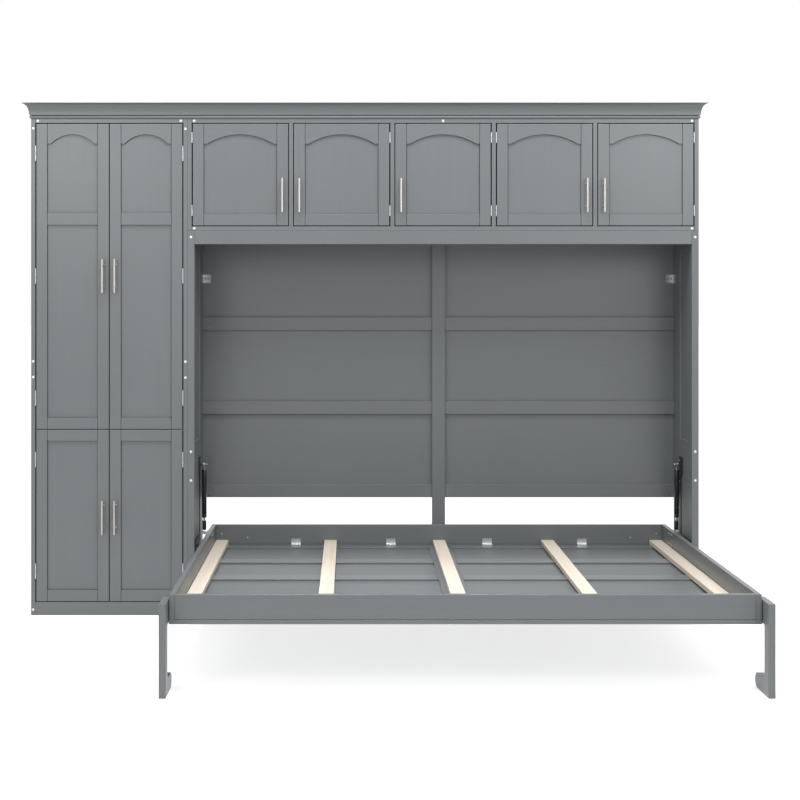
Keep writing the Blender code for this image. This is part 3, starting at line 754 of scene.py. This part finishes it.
def build_cornice():
    """Three runs of crown moulding, mitred at the front corners."""
    section = crown_section()
    depth = WALL - FRONT
    ends = {
        "left_wall": lambda out, z: point(LEFT - out, depth, z),
        "left_mitre": lambda out, z: point(LEFT - out, -out + MITRE_GAP, z),
        "front_left": lambda out, z: point(LEFT - out + MITRE_GAP, -out, z),
        "front_right": lambda out, z: point(RIGHT + out - MITRE_GAP, -out, z),
        "right_mitre": lambda out, z: point(RIGHT + out, -out + MITRE_GAP, z),
        "right_wall": lambda out, z: point(RIGHT + out, depth, z),
    }
    runs = {
        "cornice_left_return": ("left_wall", "left_mitre", 1),
        "cornice_front": ("front_left", "front_right", 0),
        "cornice_right_return": ("right_mitre", "right_wall", 1),
    }
    for name, (start, end, axis) in runs.items():
        shape = bmesh.new()
        add_layers(shape, [[ends[end_name](out, z) for out, z in section]
                           for end_name in (start, end)])
        made = add_piece(name, shape, "cabinet", PAINTS[axis])
        if axis == 0:
            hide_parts("cornice")


def build_back_frame():
    """The upright and the cross rails that hold the back panel."""
    low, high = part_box("back_frame")
    upright = (BED_CENTRE - UPRIGHT_HALF, BED_CENTRE + UPRIGHT_HALF)
    made = board("back_upright", (upright[0], low.y, low.z), (upright[1], high.y, high.z),
                 "cabinet")
    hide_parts("back_frame")
    sides = {"left": (low.x, upright[0] - GAP), "right": (upright[1] + GAP, high.x)}
    for number, bottom in enumerate(BACK_RAILS_Z, start=1):
        for side, x in sides.items():
            board(f"back_rail_{number}_{side}", (x[0], FRONT + BACK_RAIL_DEPTH, bottom),
                  (x[1], high.y, bottom + BACK_RAIL_HEIGHT), "cabinet")


def add_cap(shape, x, z):
    """A push-in screw cap on a front edge."""
    dome = [(0, -0.001), (0.0053, -0.001), (0.0055, 0.0004), (0.0048, 0.0011),
            (0.0028, 0.0016), (0, 0.0017)]
    add_turned(shape, dome, aimed(point(x, 0, z), (0, -1, 0)), SMALL_SEGMENTS)


def build_screw_caps():
    """White caps over the fixings in the cabinets' front edges."""
    shape = bmesh.new()
    for node, heights in CAP_HEIGHTS.items():
        low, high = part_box(node)
        for z in heights:
            add_cap(shape, (low.x + high.x) / 2, z)
    for node, middle in (("tower_top", False), ("overhead_top", True),
                         ("overhead_bottom", False)):
        low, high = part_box(node)
        places = [low.x + CAP_INSET, high.x - CAP_INSET]
        if middle:
            places.append((low.x + high.x) / 2)
        for x in places:
            add_cap(shape, x, (low.z + high.z) / 2)
    add_piece("screw_caps", shape, "cabinet", WHITE_PLASTIC)


def add_screw(shape, origin, direction, radius=0.004):
    """A pan head with a socket."""
    height = 0.55 * radius
    head = [(0, 0), (radius, 0), (radius, 0.4 * height), (0.8 * radius, 0.85 * height),
            (0.5 * radius, height), (0.32 * radius, height), (0.28 * radius, 0.4 * height),
            (0, 0.4 * height)]
    add_turned(shape, head, aimed(origin, direction), SMALL_SEGMENTS)


def add_angle(shape, corner, first, second, across):
    """An angle bracket: two legs from a corner, each a vector, and a half width across."""
    thick = BRACKET_THICK
    first, second, across = Vector(first), Vector(second), Vector(across)
    one, two = first.normalized(), second.normalized()
    soft = 0.0025
    outline = [corner, corner + first, corner + first + two * thick,
               corner + (one + two) * thick + one * soft,
               corner + (one + two) * (thick + 0.3 * soft),
               corner + (one + two) * thick + two * soft,
               corner + second + one * thick, corner + second]
    add_layers(shape, [[p - across for p in outline], [p + across for p in outline]])


def build_back_hardware():
    """Angle brackets between the sides and the back, and the back rails' screws."""
    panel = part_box("back_panel")[0].y
    brackets, screws = bmesh.new(), bmesh.new()
    for wall, inward in ((OPENING[0], 1), (OPENING[1], -1)):
        corner = Vector((wall, panel, BACK_BRACKET_Z))
        add_angle(brackets, corner, (inward * BACK_BRACKET_LEG, 0, 0),
                  (0, -BACK_BRACKET_LEG, 0), (0, 0, BACK_BRACKET_HALF))
        for out in BACK_BRACKET_HOLES:
            add_screw(screws, corner + Vector((inward * out, -BRACKET_THICK, 0)),
                      (0, -1, 0), BOLT_RADIUS)
            add_screw(screws, corner + Vector((inward * BRACKET_THICK, -out, 0)),
                      (inward, 0, 0), BOLT_RADIUS)
    for bottom in BACK_RAILS_Z[:3]:
        for side in (-1, 1):
            add_screw(screws, point(BED_CENTRE + side * BACK_RAIL_SCREW[0], BACK_RAIL_DEPTH,
                                    bottom + BACK_RAIL_SCREW[1]), (0, -1, 0))
    # The brackets and screws here take the zinc darkened as painted shade.
    add_piece("back_angle_brackets", brackets, "cabinet", SHADED_ZINC,
              METAL_EDGE)
    add_piece("back_screws", screws, "cabinet", SHADED_ZINC)


def build_sheet_screws():
    """Small screws round the back sheets, seen from behind."""
    shape = bmesh.new()
    for node in ("tower_back", "overhead_back", "back_panel"):
        low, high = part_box(node)
        left, right = low.x + SHEET_SCREW_INSET, high.x - SHEET_SCREW_INSET
        bottom, top = low.z + SHEET_SCREW_INSET, high.z - SHEET_SCREW_INSET
        across = round((right - left) / SHEET_SCREW_PITCH)
        up = round((top - bottom) / SHEET_SCREW_PITCH)
        places = [(left + (right - left) * i / across, z)
                  for i in range(across + 1) for z in (bottom, top)]
        places += [(x, bottom + (top - bottom) * i / up)
                   for i in range(1, up) for x in (left, right)]
        for x, z in places:
            add_screw(shape, Vector((x, high.y, z)), (0, 1, 0), SHEET_SCREW_RADIUS)
    # These screws share the zinc darkened as painted shade.
    add_piece("back_sheet_screws", shape, "cabinet", SHADED_ZINC)


# ---- bed ----------------------------------------------------------------------------
def build_face_board():
    """The bed's panelled face: three stiles, five rows of strips and eight panels."""
    low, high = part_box("bed_face_board")
    middle = (BED_CENTRE - FACE_MIDDLE / 2, BED_CENTRE + FACE_MIDDLE / 2)
    inner = (low.x + FACE_END, high.x - FACE_END)
    stiles = {"left": (low.x, inner[0]), "middle": middle, "right": (inner[1], high.x)}
    for name, x in stiles.items():
        made = board(f"bed_face_{name}_stile", (x[0], low.y, low.z), (x[1], high.y, high.z),
                     "bed", FACE_STILE_EDGE, axis=1)
    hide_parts("bed_face_board")
    front = FRONT + BED_FRONT_DEPTH
    halves = {"left": (inner[0] + JOINT_GAP, middle[0] - JOINT_GAP),
              "right": (middle[1] + JOINT_GAP, inner[1] - JOINT_GAP)}
    for side, x in halves.items():
        for row in range(FACE_ROWS + 1):
            start = front + row * FACE_STRIP_PITCH
            end = start + FACE_STRIP if row < FACE_ROWS else high.y
            start = low.y if row == 0 else start
            board(f"bed_face_strip_{row + 1}_{side}", (x[0], start, low.z),
                  (x[1], end, high.z), "bed", FACE_STRIP_EDGE, axis=0, look=STRIP_PAINT)
            if row < FACE_ROWS:
                panel_end = front + (row + 1) * FACE_STRIP_PITCH
                board(f"bed_face_panel_{row + 1}_{side}",
                      (x[0] + PANEL_GROOVE, end + PANEL_GROOVE, low.z + FACE_RECESS),
                      (x[1] - PANEL_GROOVE, panel_end - PANEL_GROOVE, high.z - TRAY_RECESS),
                      "bed", PANEL_EDGE, axis=0)


def build_bed_hardware():
    """Angle brackets and bolts on the rear rail, seen inside the tray."""
    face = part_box("bed_rear_rail")[0].y
    floor_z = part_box("bed_face_board")[1].z
    brackets, screws = bmesh.new(), bmesh.new()
    up, out = TRAY_BRACKET_LEGS
    for offset in TRAY_BRACKETS:
        corner = Vector((BED_CENTRE + offset, face, floor_z))
        add_angle(brackets, corner, (0, 0, up), (0, -out, 0), (TRAY_BRACKET_HALF, 0, 0))
        for side in (-0.011, 0.011):
            add_screw(screws, corner + Vector((side, -BRACKET_THICK, 0.015)), (0, -1, 0),
                      TRAY_SCREW_RADIUS)
            add_screw(screws, corner + Vector((side, -0.012, BRACKET_THICK)), (0, 0, 1),
                      TRAY_SCREW_RADIUS)
    for offset, z in RAIL_SCREWS:
        for side in (-1, 1):
            add_screw(screws, Vector((BED_CENTRE + side * offset, face, z)), (0, -1, 0),
                      BOLT_RADIUS)
    add_piece("tray_angle_brackets", brackets, "bed", ZINC, METAL_EDGE)
    add_piece("tray_screws", screws, "bed", ZINC)


def leg_outline():
    """A C: foot and arm, both round-ended, behind a straight shaft: (back, up)."""
    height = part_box("left_leg")[1].z
    pivot_back = PINS["left_leg"].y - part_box("left_leg")[0].y
    foot_reach, foot_height = LEG_FOOT
    toe = foot_height / 2
    arm_bottom = height - 2 * LEG_ARM_RADIUS
    return ([(0, 0)]
            + arc((foot_reach - toe, toe), toe, -90, 90, LEG_STEPS)
            + arc((LEG_SHAFT + LEG_FILLET, foot_height + LEG_FILLET), LEG_FILLET, 270, 180,
                  LEG_STEPS)
            + arc((LEG_SHAFT + LEG_ARM_FILLET, arm_bottom - LEG_ARM_FILLET), LEG_ARM_FILLET,
                  180, 90, LEG_STEPS)
            + arc((pivot_back, height - LEG_ARM_RADIUS), LEG_ARM_RADIUS, -90, 90, LEG_STEPS)
            + [(0, height)])


def build_leg(side):
    """A leg board, its spacer and its pin."""
    outer, pin_end = outer_and_inner(side, f"{side}_leg")
    inward = INWARD[side]
    face = outer + inward * LEG_THICK
    front_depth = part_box(f"{side}_leg")[0].y - FRONT
    outline = [(front_depth + back, up) for back, up in leg_outline()]
    shape = bmesh.new()
    add_layers(shape, [on_yz(outline, outer), on_yz(outline, face)])
    leg = add_piece(f"{side}_leg_board", shape, f"{side}_leg", PAINTS[2],
                    LEG_EDGE)
    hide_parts(f"{side}_leg")
    pivot = PINS[f"{side}_leg"]
    shape = bmesh.new()
    place = aimed((face, pivot.y, pivot.z), (inward, 0, 0))
    reach = abs(pin_end - face)
    pin = [(0, 0.0001), (0.0155, 0.0001), (0.016, 0.0006), (0.016, LEG_SPACER - 0.0005),
           (0.0155, LEG_SPACER), (0.006, LEG_SPACER), (0.006, reach - 0.0008),
           (0.0052, reach), (0, reach)]
    add_turned(shape, pin, place)
    cover = aimed((outer, pivot.y, pivot.z), (-inward, 0, 0))
    head = [(0, 0), (0.0085, 0), (0.0085, 0.0010), (0.0078, 0.0018), (0.0034, 0.0020),
            (0.0030, 0.0008), (0, 0.0008)]
    add_turned(shape, head, cover)
    add_piece(f"{side}_leg_pivot_bolt", shape, f"{side}_leg", ZINC)


# ---- tilting gear -------------------------------------------------------------------
def spring_cylinder_profile():
    """Domed top, a crimp near the mouth, and the bore that the rod slides in."""
    start, end = CYLINDER_SPAN
    radius = CYLINDER_RADIUS
    dome = [(radius - 0.004 + x, y) for x, y in arc((0, start + 0.004), 0.004, -90, 0, 6)]
    crimp = end - 0.014
    return ([(0, start)] + dome
            + [(radius, crimp - 0.003), (radius - 0.0009, crimp - 0.0015),
               (radius - 0.0009, crimp + 0.0015), (radius, crimp + 0.003),
               (radius, end - 0.003), (radius - 0.0012, end - 0.0008),
               (radius - 0.003, end), (0.0058, end), (0.0058, 0.030), (0, 0.030)])


def add_eye(shape, centre):
    """A gas spring's end eye, open along X."""
    add_ring(shape, STUD_RADIUS + STUD_CLEARANCE, SPRING_EYE_RADIUS - SPRING_EYE_CHAMFER,
             SPRING_EYE_HALF, SPRING_EYE_CHAMFER, aimed(centre, Vector((1, 0, 0))))


def build_gas_spring(side):
    """Cylinder, rod, end fittings and bolts of one gas spring."""
    top = PINS[f"{side}_spring_cylinder"]
    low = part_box(f"gas_spring_rod_{side}")[0]
    inward = INWARD[side]
    axis = next(Vector(joint["axis"]) for joint in frame["joints"]
                if joint["name"] == f"{side}_spring_stroke")
    foot_centre = Vector((top.x, 0, low.z + SPRING_EYE_RADIUS))
    foot_centre.y = top.y + axis.y / axis.z * (foot_centre.z - top.z)
    length = (foot_centre - top).length
    down = aimed(top, axis)

    shape = bmesh.new()
    add_turned(shape, spring_cylinder_profile(), down)
    cylinder = add_piece(f"gas_spring_{side}_cylinder", shape, f"{side}_spring_cylinder",
                         GLOSS_BLACK)
    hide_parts(f"gas_spring_cylinder_{side}")

    shape = bmesh.new()
    add_eye(shape, top)
    neck = [(0, 0.0095), (0.0055, 0.0095), (0.0055, 0.019), (0.0075, 0.0195),
            (0.0075, CYLINDER_SPAN[0] + 0.0005), (0, CYLINDER_SPAN[0] + 0.0005)]
    add_turned(shape, neck, down)
    # The top eye takes the zinc darkened as painted shade.
    add_piece(f"gas_spring_{side}_top_eye", shape, f"{side}_spring_cylinder", SHADED_ZINC)

    shape = bmesh.new()
    rod = [(0, 0.036), (0.0046, 0.036), (0.005, 0.037), (0.005, SLEEVE_SPAN[0] + 0.002),
           (0, SLEEVE_SPAN[0] + 0.002)]
    add_turned(shape, rod, down)
    piston = add_piece(f"gas_spring_{side}_rod", shape, f"{side}_spring_rod", CHROME)
    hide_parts(f"gas_spring_rod_{side}")

    shape = bmesh.new()
    start, end = SLEEVE_SPAN
    sleeve = [(0, start), (0.0075, start), (0.009, start + 0.0015), (0.009, end - 0.004),
              (0.0075, end), (0, end)]
    add_turned(shape, sleeve, down)
    add_piece(f"gas_spring_{side}_sleeve", shape, f"{side}_spring_rod", BLACK_PLASTIC)

    shape = bmesh.new()
    foot = top + axis * length
    add_eye(shape, foot)
    bolt_end = outer_and_inner(side, f"gas_spring_rod_{side}")[1]
    outside = foot - Vector((inward * (SPRING_EYE_HALF + 0.0005), 0, 0))
    reach = abs(bolt_end - outside.x)
    bolt = [(0, -0.0035), (0.0062, -0.0035), (0.0078, -0.0025), (0.0078, 0),
            (STUD_RADIUS, 0), (STUD_RADIUS, reach), (0, reach)]
    add_turned(shape, bolt, aimed(outside, (inward, 0, 0)))
    add_piece(f"gas_spring_{side}_foot_eye", shape, f"{side}_spring_rod", ZINC)


def build_wall_fixings(side):
    """The nut on the spring's stud and the bolts that hold the wall plate."""
    inward = INWARD[side]
    wall = OPENING[0] if side == "left" else OPENING[1]
    plate = wall + inward * (GAP + PLATE_THICK)
    top = PINS[f"{side}_spring_cylinder"]
    shape = bmesh.new()
    end = top.x + inward * (SPRING_EYE_HALF + 0.0004)
    nut = [(0, 0), (0.0078, 0), (0.0082, 0.0005), (0.0082, 0.0040), (0.0074, 0.0048),
           (0.0054, 0.0050), (0.0048, 0.0068), (0, 0.0070)]
    add_turned(shape, nut, aimed((end, top.y, top.z), (inward, 0, 0)), 6)
    for depth, z in WALL_PLATE_BOLTS:
        add_screw(shape, point(plate, depth, z), (inward, 0, 0), WALL_PLATE_BOLT_RADIUS)
    # The nut and bolts take the zinc darkened as painted shade.
    add_piece(f"wall_plate_{side}_fixings", shape, "cabinet", SHADED_ZINC)


def build_pivot_fixings(side):
    """Bolts that hold the pivot plate to the bed's rail."""
    outer, inner = outer_and_inner(side, f"bed_{side}_rail")
    outward = -INWARD[side]
    plate = outer + outward * (GAP + PLATE_THICK)
    shape = bmesh.new()
    for depth in PIVOT_BOLT_DEPTHS:
        for z in PIVOT_BOLT_Z:
            add_screw(shape, point(plate, depth, z), (outward, 0, 0), BOLT_RADIUS)
            add_screw(shape, point(inner, depth, z + 0.004), (-outward, 0, 0), BOLT_RADIUS)
    add_piece(f"pivot_plate_{side}_fixings", shape, "bed", ZINC)


# ---- studio -------------------------------------------------------------------------
def build_floor():
    """A wide pale floor."""
    shape = bmesh.new()
    bmesh.ops.create_grid(shape, x_segments=2, y_segments=2, size=FLOOR_REACH)
    mesh = bpy.data.meshes.new("studio_floor")
    shape.to_mesh(mesh)
    shape.free()
    mesh.materials.append(studio_floor("studio_floor"))
    floor = bpy.data.objects.new("studio_floor", mesh)
    floor.location.z = FLOOR_Z
    bpy.context.scene.collection.objects.link(floor)


def area_light(name, position, target, size, power):
    """A soft box that faces a target."""
    light = bpy.data.lights.new(name, "AREA")
    light.shape = "RECTANGLE"
    light.size, light.size_y = size
    light.energy = power
    lamp = bpy.data.objects.new(name, light)
    lamp.location = position
    aim = Vector(target) - Vector(position)
    lamp.rotation_euler = aim.to_track_quat("-Z", "Y").to_euler()
    bpy.context.scene.collection.objects.link(lamp)
    return lamp


def light_studio():
    """A white room, two soft boxes overhead and one on either side of the camera."""
    world = bpy.data.worlds.new("studio")
    world.use_nodes = True
    background = world.node_tree.nodes["Background"]
    background.inputs["Color"].default_value = (1.0, 1.0, 1.0, 1)
    background.inputs["Strength"].default_value = ROOM_LIGHT
    bpy.context.scene.world = world
    area_light("soft_box_over", (0.2, -1.0, 4.2), (0.2, -0.6, 0.4), (2.6, 1.4),
               OVER_BOX_POWER)
    bed_box = area_light("soft_box_bed", (0.3, -0.75, 4.4), (0.3, -0.45, 0.3), (2.4, 0.6),
                         BED_BOX_POWER)
    bed_box.data.spread = BED_BOX_SPREAD
    for side, x in (("left", -2.15), ("right", 2.35)):
        area_light(f"soft_box_{side}", (x, -3.2, 2.55), (x / 2, 0.5, 1.7), (1.1, 1.1),
                   SIDE_BOX_POWER)


def build_camera():
    """A level camera facing the cabinets; its frame is shifted right and down."""
    camera_data = bpy.data.cameras.new("camera")
    camera_data.sensor_width = CAMERA_SENSOR
    camera_data.lens = CAMERA_LENS
    camera_data.shift_x, camera_data.shift_y = CAMERA_SHIFT
    camera = bpy.data.objects.new("camera", camera_data)
    camera.location = (CAMERA_X, FRONT - CAMERA_DISTANCE, CAMERA_Z)
    camera.rotation_euler = (math.radians(90), 0, 0)
    bpy.context.scene.collection.objects.link(camera)
    bpy.context.scene.camera = camera


build_camera()
light_studio()
build_floor()
dress_boards()
build_doors()
build_cornice()
build_back_frame()
build_screw_caps()
build_back_hardware()
build_sheet_screws()
build_face_board()
build_bed_hardware()
for side in INWARD:
    build_leg(side)
    build_gas_spring(side)
    build_wall_fixings(side)
    build_pivot_fixings(side)

bpy.context.scene.view_settings.view_transform = "Standard"
bpy.context.view_layer.update()
